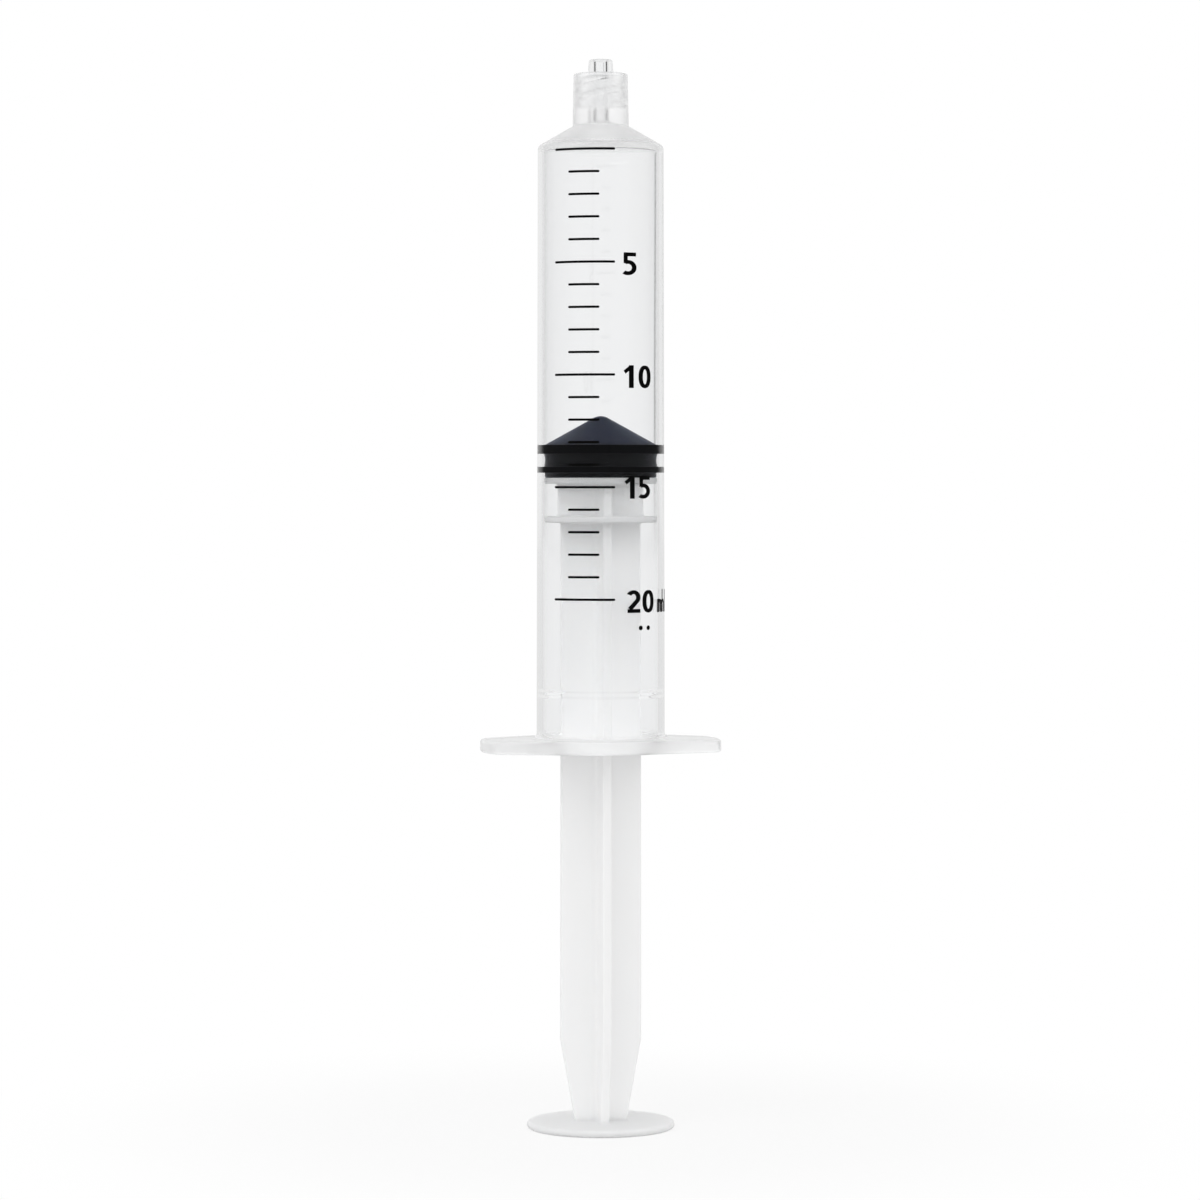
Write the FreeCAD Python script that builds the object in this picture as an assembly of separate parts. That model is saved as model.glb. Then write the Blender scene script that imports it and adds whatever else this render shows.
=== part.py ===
import FreeCAD, Part
import math
import os

# A disposable luer lock syringe of 20 ml, drawn to a little past 13 ml, in millimetres.
# The origin is the centre of the thumb disc's face, on which the syringe stands. +Z runs up
# the axis to the luer tip, the finger flange reaches along X, and the scale faces -Y.

# Barrel tube and its inside
bore_radius = 9.375
wall_at_shoulder = 0.87
wall_at_flange = 1.10
shoulder_slope = 30.0
shoulder_wall = 1.2
shoulder_chamfer = 0.5
shoulder_room = 0.2
tail_length = 25.05
mouth_chamfer = 0.35
mouth_chamfer_length = 1.0
bead_from_mouth = 9.6
bead_length = 1.3
bead_crest_length = 0.5
bead_height = 0.17

# Finger flange
flange_span = 39.4
flange_root_depth = 24.6
flange_tip_depth = 13.0
flange_root_thickness = 2.2
flange_tip_thickness = 1.95
flange_root_chamfer = 0.7
flange_corner_radius = 2.25
flange_edge_chamfer = 0.3

# Luer taper and lock collar
tip_radius = 1.97
tip_taper = 0.06
tip_length = 7.8
tip_chamfer = 0.35
tip_proud = 2.3
nozzle_bore_radius = 0.85
nozzle_chamfer = 0.2
collar_height = 8.5
collar_mouth_wall = 0.45
collar_draft = 0.15
collar_rim_inset = 0.3
collar_rim_height = 0.6
thread_crest_radius = 3.5
thread_depth = 0.45
thread_lead = 5.0
thread_starts = 2
thread_root_width = 1.3
thread_crest_width = 0.5
thread_end_room = 0.5
thread_bite = 0.1

# Printed scale
full_volume = 20
drawn_volume = 13.1
numbered_every = 5
line_width = 0.35
ink_thickness = 0.05
front_angle = -90.0
long_line_start = -54.9
long_line_sweep = 58.4
short_line_start = -39.9
short_line_sweep = 29.3

# Rubber stopper, from its back edge up
stopper_clearance = 0.03
skirt_height = 0.8
skirt_inset = 0.25
lower_rib_height = 1.0
groove_height = 2.05
groove_depth = 0.6
groove_flank_height = 0.5
upper_rib_height = 1.5
rib_edge_height = 0.2
cone_inset = 0.25
cone_slope = 29.0
cone_nose_radius = 2.5

# Plunger rod
thumb_gap = 13.1
thumb_disc_inset = 0.2
thumb_disc_thickness = 1.15
thumb_rim_chamfer = 0.35
grip_groove_radii = (4.7, 7.0, 9.3)
grip_groove_width = 0.7
grip_groove_depth = 0.25
foot_width = 8.5
foot_length = 13.5
rod_lower_width = 13.35
rod_upper_width = 13.1
rod_neck_width = 14.1
rib_thickness = 1.5
rib_root_fillet = 1.0
disc_clearance = 0.2
disc_thickness = 1.0
disc_gap = 5.3
head_neck_radius = 4.8
head_neck_length = 1.9
head_radius = 6.3
head_rim_height = 1.4
head_cone_height = 3.6
head_top_radius = 2.0
socket_clearance = 0.05

# How far a cutting shape runs past the face that it cuts, and the least distance that counts
overcut = 1.0
touching = 0.01

# Heights and radii that follow from those
ml_height = 1000.0 / (math.pi * bore_radius**2)
stopper_radius = bore_radius - stopper_clearance
groove_floor = skirt_height + lower_rib_height
stopper_datum_height = groove_floor + groove_height + upper_rib_height

mouth_to_zero = tail_length + full_volume * ml_height
datum_z = thumb_disc_thickness + thumb_gap + mouth_to_zero
seat_z = datum_z - stopper_datum_height
zero_z = datum_z + drawn_volume * ml_height
mouth_z = zero_z - mouth_to_zero
bore_end_z = zero_z + shoulder_room

slope = math.tan(math.radians(shoulder_slope))
shoulder_rise = shoulder_wall / math.cos(math.radians(shoulder_slope))
shoulder_radius = bore_radius + wall_at_shoulder
flange_wall_radius = bore_radius + wall_at_flange
collar_root_radius = thread_crest_radius + thread_depth
collar_mouth_radius = collar_root_radius + collar_mouth_wall
collar_base_radius = collar_mouth_radius + collar_draft
disc_radius = bore_radius - disc_clearance
thumb_disc_radius = flange_root_depth / 2 - thumb_disc_inset
head_disc_z = seat_z - disc_thickness
lower_disc_z = head_disc_z - disc_gap - disc_thickness


def inner_shoulder_z(radius):
    """Height of the shoulder's inner cone at a radius."""
    return bore_end_z + (bore_radius - radius) * slope


def outer_shoulder_z(radius):
    """Height of the shoulder's outer cone at a radius."""
    return inner_shoulder_z(radius) + shoulder_rise


corner_z = outer_shoulder_z(shoulder_radius)
collar_base_z = outer_shoulder_z(collar_base_radius)
rim_z = collar_base_z + collar_height
tip_z = rim_z + tip_proud
collar_floor_z = tip_z - tip_length


def wall_radius(z):
    """Outer radius of the barrel tube, which widens evenly from the shoulder to the flange."""
    share = (corner_z - z) / (corner_z - mouth_z)
    return shoulder_radius + share * (flange_wall_radius - shoulder_radius)


def at(radius, z):
    return FreeCAD.Vector(radius, 0, z)


def outline(corners):
    """Closed face beside the axis.

    A corner is (radius, height). A pair of pairs is a curve: the point that it passes, then
    its end.
    """
    curved = [isinstance(corner[0], tuple) for corner in corners]
    points = [at(*(corner[1] if bent else corner)) for corner, bent in zip(corners, curved)]
    edges = []
    for i, point in enumerate(points):
        if curved[i]:
            edges.append(Part.Arc(points[i - 1], at(*corners[i][0]), point).toShape())
        else:
            edges.append(Part.LineSegment(points[i - 1], point).toShape())
    return Part.Face(Part.Wire(edges))


def turned(corners, sweep=360.0):
    """Solid that the outline sweeps around the axis."""
    return outline(corners).revolve(FreeCAD.Vector(0, 0, 0), FreeCAD.Vector(0, 0, 1), sweep)


def retaining_bead():
    """Corners of the low ring inside the open end, which keeps the stopper in."""
    z = mouth_z + bead_from_mouth
    return [
        (bore_radius, z - bead_length / 2),
        (bore_radius - bead_height, z - bead_crest_length / 2),
        (bore_radius - bead_height, z + bead_crest_length / 2),
        (bore_radius, z + bead_length / 2),
    ]


def barrel_tube():
    """Tube, shoulder, collar and luer taper in one turned wall, with the flange's root."""
    flange_top = mouth_z + flange_root_thickness
    root_top = flange_top + flange_root_chamfer
    root_radius = wall_radius(root_top)
    tip_root_radius = tip_radius + tip_length * tip_taper / 2
    edge_radius = shoulder_radius - shoulder_chamfer * math.cos(math.radians(shoulder_slope))
    return turned([
        (bore_radius + mouth_chamfer, mouth_z),
        (bore_radius, mouth_z + mouth_chamfer_length),
        *retaining_bead(),
        (bore_radius, bore_end_z),
        (nozzle_bore_radius, inner_shoulder_z(nozzle_bore_radius)),
        (nozzle_bore_radius, tip_z - nozzle_chamfer),
        (nozzle_bore_radius + nozzle_chamfer, tip_z),
        (tip_radius - tip_chamfer, tip_z),
        (tip_radius, tip_z - tip_chamfer),
        (tip_root_radius, collar_floor_z),
        (collar_root_radius, collar_floor_z),
        (collar_root_radius, rim_z),
        (collar_mouth_radius - collar_rim_inset, rim_z),
        (collar_mouth_radius, rim_z - collar_rim_height),
        (collar_base_radius, collar_base_z),
        (edge_radius, outer_shoulder_z(edge_radius)),
        (wall_radius(corner_z - shoulder_chamfer), corner_z - shoulder_chamfer),
        (root_radius, root_top),
        (root_radius + flange_root_chamfer, flange_top),
        (root_radius + flange_root_chamfer, mouth_z),
    ])


def flange_plan():
    """Outline of the flange seen from above: a round middle with two narrowing wings."""
    middle = flange_root_depth / 2
    reach = flange_span / 2
    tip_angle = math.asin(flange_tip_depth / 2 / reach)
    touch_angle = tip_angle + math.acos(middle / reach)

    def point(radius, angle):
        return FreeCAD.Vector(radius * math.cos(angle), radius * math.sin(angle), mouth_z)

    edges = []
    for side in (0, math.pi):
        tip_low = point(reach, side - tip_angle)
        tip_high = point(reach, side + tip_angle)
        touch_high = point(middle, side + touch_angle)
        next_touch = point(middle, side + math.pi - touch_angle)
        next_tip = point(reach, side + math.pi - tip_angle)
        edges.append(Part.Arc(tip_low, point(reach, side), tip_high).toShape())
        edges.append(Part.LineSegment(tip_high, touch_high).toShape())
        edges.append(Part.Arc(touch_high, point(middle, side + math.pi / 2), next_touch).toShape())
        edges.append(Part.LineSegment(next_touch, next_tip).toShape())
    return Part.Face(Part.Wire(edges))


def finger_flange():
    """Flange plate, thinner towards its tips, with rounded corners and broken edges."""
    plate = flange_plan().extrude(FreeCAD.Vector(0, 0, flange_root_thickness))
    upright = [edge for edge in plate.Edges if edge.BoundBox.ZLength > flange_root_thickness / 2]
    at_tips = [edge for edge in upright if abs(
        math.hypot(edge.CenterOfMass.x, edge.CenterOfMass.y) - flange_span / 2) < touching]
    plate = plate.makeFillet(flange_corner_radius, at_tips)
    top = mouth_z + flange_root_thickness
    plate = plate.common(turned([
        (0, mouth_z - overcut),
        (flange_span / 2 + overcut, mouth_z - overcut),
        (flange_span / 2 + overcut, mouth_z + flange_tip_thickness),
        (flange_span / 2, mouth_z + flange_tip_thickness),
        (flange_root_depth / 2, top),
        (0, top),
    ]))
    flat = [edge for edge in plate.Edges if edge.BoundBox.ZLength < flange_tip_thickness / 2]
    return plate.makeChamfer(flange_edge_chamfer, flat)


def lock_thread():
    """Ridges of the collar's internal thread, right-handed, with one ridge for each start."""
    low = collar_floor_z + thread_end_room + thread_root_width / 2
    high = rim_z - thread_end_room - thread_root_width / 2
    outside = collar_root_radius + thread_bite
    section = outline([
        (outside, low - thread_root_width / 2),
        (outside, low + thread_root_width / 2),
        (thread_crest_radius, low + thread_crest_width / 2),
        (thread_crest_radius, low - thread_crest_width / 2),
    ])
    helix = Part.makeHelix(thread_lead, high - low, collar_root_radius)
    helix.translate(FreeCAD.Vector(0, 0, low))
    ridge = Part.Wire(helix.Edges).makePipeShell([section.OuterWire], True, True)
    ridges = []
    for start in range(thread_starts):
        turn = start * 360.0 / thread_starts
        ridges.append(ridge.rotated(FreeCAD.Vector(0, 0, 0), FreeCAD.Vector(0, 0, 1), turn))
    return ridges


def barrel():
    flange = finger_flange()
    mouth = Part.makeCylinder(bore_radius + mouth_chamfer, flange_root_thickness + overcut,
                              at(0, mouth_z - overcut / 2))
    return barrel_tube().fuse([flange.cut(mouth), *lock_thread()]).removeSplitter()


def printed_line(z, start, sweep):
    """One line of the scale: a strip of ink on the barrel's tapered outside.

    The line starts at an angle from the front, where -Y is, and runs to the right.
    """
    low = z - line_width / 2
    high = z + line_width / 2
    strip = turned([
        (wall_radius(low), low),
        (wall_radius(low) + ink_thickness, low),
        (wall_radius(high) + ink_thickness, high),
        (wall_radius(high), high),
    ], sweep)
    return strip.rotated(FreeCAD.Vector(0, 0, 0), FreeCAD.Vector(0, 0, 1), front_angle + start)


def printed_scale():
    """A line for each millilitre, longer at zero and at each number, read down from zero."""
    lines = []
    for volume in range(full_volume + 1):
        z = zero_z - volume * ml_height
        if volume % numbered_every == 0:
            lines.append(printed_line(z, long_line_start, long_line_sweep))
        else:
            lines.append(printed_line(z, short_line_start, short_line_sweep))
    return Part.makeCompound(lines)


def head_corners(clearance):
    """Corners of the rod's head from its neck up, which the stopper's hollow follows."""
    neck_z = seat_z + head_neck_length - clearance
    rim_top = seat_z + head_neck_length + head_rim_height
    top_z = rim_top + head_cone_height + clearance
    return [
        (head_neck_radius + clearance, neck_z),
        (head_radius + clearance, neck_z),
        (head_radius + clearance, rim_top),
        (head_top_radius + clearance, top_z),
    ]


def stopper():
    """Rubber stopper: hollow pointed front, two sealing ribs and a groove between them."""
    inner = head_corners(socket_clearance)
    lower_rib_z = seat_z + skirt_height
    groove_z = seat_z + groove_floor
    upper_rib_z = groove_z + groove_height
    skirt_radius = stopper_radius - skirt_inset
    cone_radius = stopper_radius - cone_inset
    lean = math.radians(cone_slope)
    nose_radius = cone_nose_radius * math.sin(lean)
    nose_z = datum_z + (cone_radius - nose_radius) * math.tan(lean)
    nose_centre_z = nose_z - cone_nose_radius * math.cos(lean)
    nose_middle_z = nose_centre_z + math.sqrt(cone_nose_radius**2 - nose_radius**2 / 4)
    return turned([
        (inner[0][0], seat_z),
        (skirt_radius, seat_z),
        (skirt_radius, lower_rib_z),
        (stopper_radius, lower_rib_z + rib_edge_height),
        (stopper_radius, groove_z),
        (stopper_radius - groove_depth, groove_z + groove_flank_height),
        (stopper_radius - groove_depth, upper_rib_z - groove_flank_height),
        (stopper_radius, upper_rib_z),
        (stopper_radius, datum_z - rib_edge_height),
        (cone_radius, datum_z),
        (nose_radius, nose_z),
        ((nose_radius / 2, nose_middle_z), (0, nose_centre_z + cone_nose_radius)),
        (0, inner[3][1]),
        inner[3],
        inner[2],
        inner[1],
        inner[0],
    ])


def rod_side():
    """Outline of the rod's cross ribs seen square on, from the thumb disc to the head disc."""
    foot_z = thumb_disc_thickness
    half = [
        (foot_width / 2, foot_z / 2),
        (foot_width / 2, foot_z),
        (rod_lower_width / 2, foot_z + foot_length),
        (rod_upper_width / 2, lower_disc_z),
        (rod_neck_width / 2, lower_disc_z),
        (rod_neck_width / 2, head_disc_z + disc_thickness / 2),
    ]
    other = [(-x, z) for x, z in reversed(half)]
    corners = [at(x, z) for x, z in half + other]
    return Part.Face(Part.makePolygon(corners + corners[:1]))


def cross_ribs():
    """Four ribs that meet at the axis, with filleted roots, cut to the rod's side outline."""
    reach = max(rod_lower_width, rod_upper_width, rod_neck_width)
    side = rod_side().extrude(FreeCAD.Vector(0, 2 * reach, 0))
    side.translate(FreeCAD.Vector(0, -reach, 0))
    front = side.rotated(FreeCAD.Vector(0, 0, 0), FreeCAD.Vector(0, 0, 1), 90)
    half = rib_thickness / 2
    bar = Part.makeBox(2 * reach, rib_thickness, seat_z, FreeCAD.Vector(-reach, -half, 0))
    cross = bar.fuse(bar.rotated(FreeCAD.Vector(0, 0, 0), FreeCAD.Vector(0, 0, 1), 90))
    roots = [edge for edge in cross.Edges if edge.BoundBox.ZLength > seat_z / 2
             and math.hypot(edge.CenterOfMass.x, edge.CenterOfMass.y) < rib_thickness]
    cross = cross.makeFillet(rib_root_fillet, roots)
    return cross.common(side).common(front)


def guide_disc(low):
    """Disc that keeps the rod central in the bore."""
    return Part.makeCylinder(disc_radius, disc_thickness, at(0, low))


def thumb_disc():
    """Thumb disc with a broken rim and rings of grip grooves in its face."""
    plate = turned([
        (0, 0),
        (thumb_disc_radius - thumb_rim_chamfer, 0),
        (thumb_disc_radius, thumb_rim_chamfer),
        (thumb_disc_radius, thumb_disc_thickness - thumb_rim_chamfer),
        (thumb_disc_radius - thumb_rim_chamfer, thumb_disc_thickness),
        (0, thumb_disc_thickness),
    ])
    grooves = [
        turned([
            (radius - grip_groove_width / 2, 0),
            (radius, grip_groove_depth),
            (radius + grip_groove_width / 2, 0),
        ])
        for radius in grip_groove_radii
    ]
    return plate.cut(grooves)


def rod_head():
    """Neck and barbed head that hold the stopper."""
    corners = head_corners(0)
    return turned([
        (0, seat_z - disc_thickness / 2),
        (head_neck_radius, seat_z - disc_thickness / 2),
        *corners,
        (0, corners[-1][1]),
    ])


def plunger_rod():
    guides = [guide_disc(lower_disc_z), guide_disc(head_disc_z)]
    return thumb_disc().fuse([cross_ribs(), *guides, rod_head()]).removeSplitter()


nodes = {
    "barrel": barrel,
    "printed_scale": printed_scale,
    "stopper": stopper,
    "plunger_rod": plunger_rod,
}

os.makedirs("parts", exist_ok=True)
for name, make in nodes.items():
    make().exportStep(f"parts/{name}.step")
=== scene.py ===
import math
import bpy
import numpy as np
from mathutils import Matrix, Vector


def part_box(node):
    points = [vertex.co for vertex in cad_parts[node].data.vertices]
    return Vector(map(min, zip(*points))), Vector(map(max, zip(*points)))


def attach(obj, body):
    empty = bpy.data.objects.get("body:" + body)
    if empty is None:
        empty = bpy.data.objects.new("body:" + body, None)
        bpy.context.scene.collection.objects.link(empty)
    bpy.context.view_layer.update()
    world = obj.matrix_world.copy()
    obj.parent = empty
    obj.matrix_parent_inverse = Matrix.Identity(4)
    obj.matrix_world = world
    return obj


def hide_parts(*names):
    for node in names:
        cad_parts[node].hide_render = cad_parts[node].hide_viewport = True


# A 20 ml luer lock syringe on a white floor. Lengths are millimetres until a mesh is made.
# The axis is Z, the thumb disc's face is at z = 0, the luer tip is up and the scale faces -Y.
MM = 0.001

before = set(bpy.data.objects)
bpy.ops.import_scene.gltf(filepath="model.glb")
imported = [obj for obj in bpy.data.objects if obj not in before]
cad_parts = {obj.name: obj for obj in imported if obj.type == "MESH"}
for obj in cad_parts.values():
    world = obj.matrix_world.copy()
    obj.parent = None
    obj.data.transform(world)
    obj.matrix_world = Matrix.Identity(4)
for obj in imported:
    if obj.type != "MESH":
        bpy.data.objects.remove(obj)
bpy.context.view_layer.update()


def node_box(node):
    """Lowest and highest corner of a node of the frame, in millimetres."""
    low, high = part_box(node)
    return np.array(low) / MM, np.array(high) / MM


BARREL_LOW, BARREL_HIGH = node_box("barrel")
STOPPER_LOW, STOPPER_HIGH = node_box("stopper")
ROD_LOW, ROD_HIGH = node_box("plunger_rod")
SCALE_LOW, SCALE_HIGH = node_box("printed_scale")

# Barrel tube
MOUTH_Z = BARREL_LOW[2]
BORE = 9.375
SHOULDER_WALL, FLANGE_WALL = 0.87, 1.10
SHOULDER_ANGLE = math.radians(30.0)
SHOULDER_THICKNESS = 1.2
SHOULDER_ROOM = 0.2
CORNER_ROUND = 0.9
BEAD_Z = MOUTH_Z + 9.6
BEAD_LENGTH, BEAD_CREST, BEAD_HEIGHT = 1.3, 0.5, 0.17
MOUTH_FLARE, MOUTH_FLARE_LENGTH, MOUTH_FLARE_ROUND = 0.35, 1.0, 1.0
SOFT_ROUND, FINE_ROUND = 0.3, 0.25
LONGEST_STEP = 5.0
COLUMN_STEP = 1.2

# Finger flange
FLANGE_REACH = BARREL_HIGH[0]
FLANGE_MIDDLE = BARREL_HIGH[1]
FLANGE_TIP_DEPTH = 13.0
FLANGE_ROOT_THICKNESS, FLANGE_TIP_THICKNESS = 2.2, 1.95
FLANGE_CORNER = 2.25
FLANGE_CORNER_ANGLE, FLANGE_CORNER_SPREAD = 18.6, 5.0
FLANGE_EDGE = 0.42
FLANGE_ROOT_ROUND = 0.85

# Luer taper, lock collar and its thread
TIP_Z = BARREL_HIGH[2]
TIP_RADIUS, TIP_TAPER, TIP_LENGTH, TIP_ROUND = 1.97, 0.06, 7.8, 0.38
TIP_PROUD = 2.3
NOZZLE_BORE, NOZZLE_ROUND = 0.85, 0.18
COLLAR_INSIDE, COLLAR_MOUTH, COLLAR_BASE = 3.95, 4.4, 4.55
COLLAR_ROUND, COLLAR_FOOT_ROUND = 0.28, 0.35
COLLAR_ROWS = 74
THREAD_DEPTH, THREAD_LEAD, THREAD_STARTS = 0.45, 5.0, 2
THREAD_ROOT, THREAD_CREST = 1.3, 0.5
THREAD_END, THREAD_FADE = 0.5, 0.4

# Printed scale: each kind of line starts and ends at these degrees from the front.
FULL_VOLUME, NUMBERED_EVERY = 20, 5
LINE_WIDTH = 0.35
LONG_LINE = (-54.9, 3.5)
SHORT_LINE = (-39.9, -10.6)
INK_THICKNESS, INK_KEY, INK_SPREAD = 0.025, 0.02, 0.03

# Stopper
STOPPER_SEAT = STOPPER_LOW[2]
RIB_PRESS, BODY_GAP = 0.02, 0.28
SKIRT_TOP, LOW_RIB, GROOVE_LOW, GROOVE_HIGH, RIBS_TOP = 0.75, 0.8, 1.8, 3.85, 5.35
WAIST_STEP, WAIST_DEPTH, WAIST_POWER = 0.1, 0.22, 0.8
RIB_EDGE_ROUND, CONE_FOOT_ROUND = 0.08, 0.35
NOSE_RADIUS, NOSE_ANGLE = 2.5, math.radians(29.0)
HOLLOW_GAP = 0.05

# Plunger rod
THUMB_RADIUS = ROD_HIGH[1]
THUMB_THICKNESS = 1.15
GRIP_RINGS, GRIP_HALF_WIDTH, GRIP_DEPTH = (4.7, 7.0, 9.3), 0.42, 0.25
THUMB_FACE_EDGE, THUMB_BACK_EDGE = 10.2, 7.2
RIB_THICKNESS, RIB_ROOT_ROUND, RIB_TIP_ROUND = 1.5, 1.0, 0.35
FOOT_WIDTH, FOOT_LENGTH = 8.5, 13.5
ROD_LOWER_WIDTH, ROD_UPPER_WIDTH, ROD_NECK_WIDTH = 13.35, 13.1, 14.1
DISC_RADIUS, DISC_THICKNESS, DISC_GAP, DISC_ROUND, DISC_INNER = 9.175, 1.0, 5.3, 0.22, 8.2
RIB_FLARE, RIB_END_GAP = 0.45, 1.0
HEAD_NECK_RADIUS, HEAD_NECK_LENGTH = 4.8, 1.9
HEAD_RADIUS, HEAD_RIM, HEAD_CONE, HEAD_TOP, HEAD_FOOT = 6.3, 1.4, 3.6, 2.0, 7.4
POLE_RING = 0.3

# Heights that follow
ML_HEIGHT = 1000.0 / (math.pi * BORE**2)
ZERO_Z = SCALE_HIGH[2] - LINE_WIDTH / 2
BORE_END_Z = ZERO_Z + SHOULDER_ROOM
SHOULDER_RADIUS = BORE + SHOULDER_WALL
SHOULDER_RISE = SHOULDER_THICKNESS / math.cos(SHOULDER_ANGLE)
RIM_Z = TIP_Z - TIP_PROUD
COLLAR_FLOOR_Z = TIP_Z - TIP_LENGTH


def inner_cone(radius):
    """Height of the shoulder's inside: it rises from the bore's end as the radius shrinks."""
    return BORE_END_Z + (BORE - radius) * math.tan(SHOULDER_ANGLE)


def outer_cone(radius):
    return inner_cone(radius) + SHOULDER_RISE


CORNER_Z = outer_cone(SHOULDER_RADIUS)


def wall_radius(z):
    """Outer radius of the tube, a straight line from the shoulder's corner to the mouth."""
    share = (CORNER_Z - z) / (CORNER_Z - MOUTH_Z)
    return SHOULDER_RADIUS + share * (FLANGE_WALL - SHOULDER_WALL)


# Meshes

def add_mesh(name, points, faces, sharp=40.0):
    """Object from points in millimetres and faces as lists of point numbers, smooth-shaded
    except at edges that turn by more than an angle in degrees."""
    mesh = bpy.data.meshes.new(name)
    mesh.from_pydata((np.asarray(points) * MM).tolist(), [], faces)
    mesh.validate()
    mesh.shade_smooth()
    mesh.set_sharp_from_angle(angle=math.radians(sharp))
    piece = bpy.data.objects.new(name, mesh)
    bpy.context.scene.collection.objects.link(piece)
    return piece


def loop_faces(rows, columns, closed, start=0):
    """Quads between rows of points that go round: point (i, j) is number start + i * columns
    + j, and each quad joins (i, j), (i, j + 1), (i + 1, j + 1) and (i + 1, j). A closed grid
    also joins its last row to its first."""
    last = rows if closed else rows - 1
    i, j = np.meshgrid(np.arange(last), np.arange(columns), indexing="ij")
    over, along = (i + 1) % rows, (j + 1) % columns
    quads = np.stack([i * columns + j, i * columns + along,
                      over * columns + along, over * columns + j], -1)
    return (quads.reshape(-1, 4) + start).tolist()


def round_grid(name, grid, closed, sharp=40.0):
    """Piece from a grid of rows that go round the axis anticlockwise. A closed grid is a ring.
    An open one is capped: its first and last rows shrink to one point each on the axis."""
    rows, columns = grid.shape[:2]
    points = grid.reshape(-1, 3)
    faces = loop_faces(rows, columns, closed)
    if not closed:
        poles = grid[[0, -1]].mean(1)
        ring = np.arange(columns)
        after = (ring + 1) % columns
        first, last = len(points), len(points) + 1
        top = (rows - 1) * columns
        faces += np.stack([np.full(columns, first), after, ring], -1).tolist()
        faces += np.stack([np.full(columns, last), top + ring, top + after], -1).tolist()
        points = np.concatenate([points, poles])
    return add_mesh(name, points, faces, sharp)


def rounded(corners, closed=False, step=15.0, guard=0.03):
    """Outline through corners (radius, height, rounding). A corner with a rounding becomes an
    arc that touches both its sides, one point each few degrees, with a guard point just before
    and after it that keeps the shading of the long sides even."""
    spots = np.array([corner[:2] for corner in corners], float)
    points = []
    for i, (here, size) in enumerate(zip(spots, (corner[2] for corner in corners))):
        inside = closed or 0 < i < len(corners) - 1
        if not (size and inside):
            points.append(here[None])
            continue
        before, after = spots[i - 1], spots[(i + 1) % len(spots)]
        back = (before - here) / np.linalg.norm(before - here)
        on = (after - here) / np.linalg.norm(after - here)
        half = math.acos(np.clip(back @ on, -1, 1)) / 2
        reach = size / math.tan(half)
        centre = here + (back + on) / np.linalg.norm(back + on) * size / math.sin(half)
        first = here + back * reach - centre
        turn = (math.pi - 2 * half) * math.copysign(1, back[1] * on[0] - back[0] * on[1])
        angle = np.linspace(0, turn, max(3, round(abs(math.degrees(turn)) / step) + 1))[:, None]
        side = np.array([-first[1], first[0]])
        arc = centre + first * np.cos(angle) + side * np.sin(angle)
        points.append(np.concatenate([[here + back * (reach + guard)], arc,
                                      [here + on * (reach + guard)]]))
    return np.concatenate(points)


def split_long(path, longest):
    """The path with its longer steps cut into equal ones."""
    parts = [path[:1]]
    for start, end in zip(path[:-1], path[1:]):
        count = max(1, math.ceil(np.linalg.norm(end - start) / longest))
        parts.append(start + (end - start) * np.linspace(0, 1, count + 1)[1:, None])
    return np.concatenate(parts)


def turned(path, angles):
    """Grid of a path (radius, height) carried round the axis: x = r cos a, y = r sin a."""
    radius, height = path[:, :1], path[:, 1:2]
    return around(radius + 0 * angles, height + 0 * angles, angles)


def around(radius, height, angles):
    return np.stack([radius * np.cos(angles), radius * np.sin(angles), height], -1)


def even_angles(count):
    return np.arange(count) * 2 * math.pi / count


# Barrel

def flange_reach(angles):
    """Distance from the axis to the flange's edge at each angle: the round middle, the straight
    side that touches it, the corner's arc, and the arc of the tip."""
    turn = np.radians(np.abs((np.degrees(angles) + 90) % 180 - 90))
    touch = math.asin(FLANGE_TIP_DEPTH / 2 / FLANGE_REACH) + math.acos(FLANGE_MIDDLE / FLANGE_REACH)
    out, deep = FLANGE_REACH - FLANGE_CORNER, FLANGE_MIDDLE - FLANGE_CORNER
    centre = touch - math.acos(deep / out)
    meets = math.atan2(out * math.sin(centre) + FLANGE_CORNER * math.sin(touch),
                       out * math.cos(centre) + FLANGE_CORNER * math.cos(touch))
    across = np.clip(out * np.sin(turn - centre), -FLANGE_CORNER, FLANGE_CORNER)
    corner = out * np.cos(turn - centre) + np.sqrt(FLANGE_CORNER**2 - across**2)
    side = FLANGE_MIDDLE / np.cos(np.minimum(turn - touch, 0))
    return np.select([turn < centre, turn < meets, turn < touch],
                     [FLANGE_REACH + 0 * turn, corner, side], FLANGE_MIDDLE)


def barrel_angles():
    """Angles of the barrel's columns, closer together at the four corners of the flange."""
    even = np.arange(0, 360, COLUMN_STEP)
    near = np.arange(-FLANGE_CORNER_SPREAD, FLANGE_CORNER_SPREAD + 0.1, COLUMN_STEP / 2)
    sides = (FLANGE_CORNER_ANGLE, 180 - FLANGE_CORNER_ANGLE)
    corners = [half + side + near for half in (0, 180) for side in sides]
    return np.radians(np.unique(np.round(np.concatenate([even, *corners]), 2)))


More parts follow.
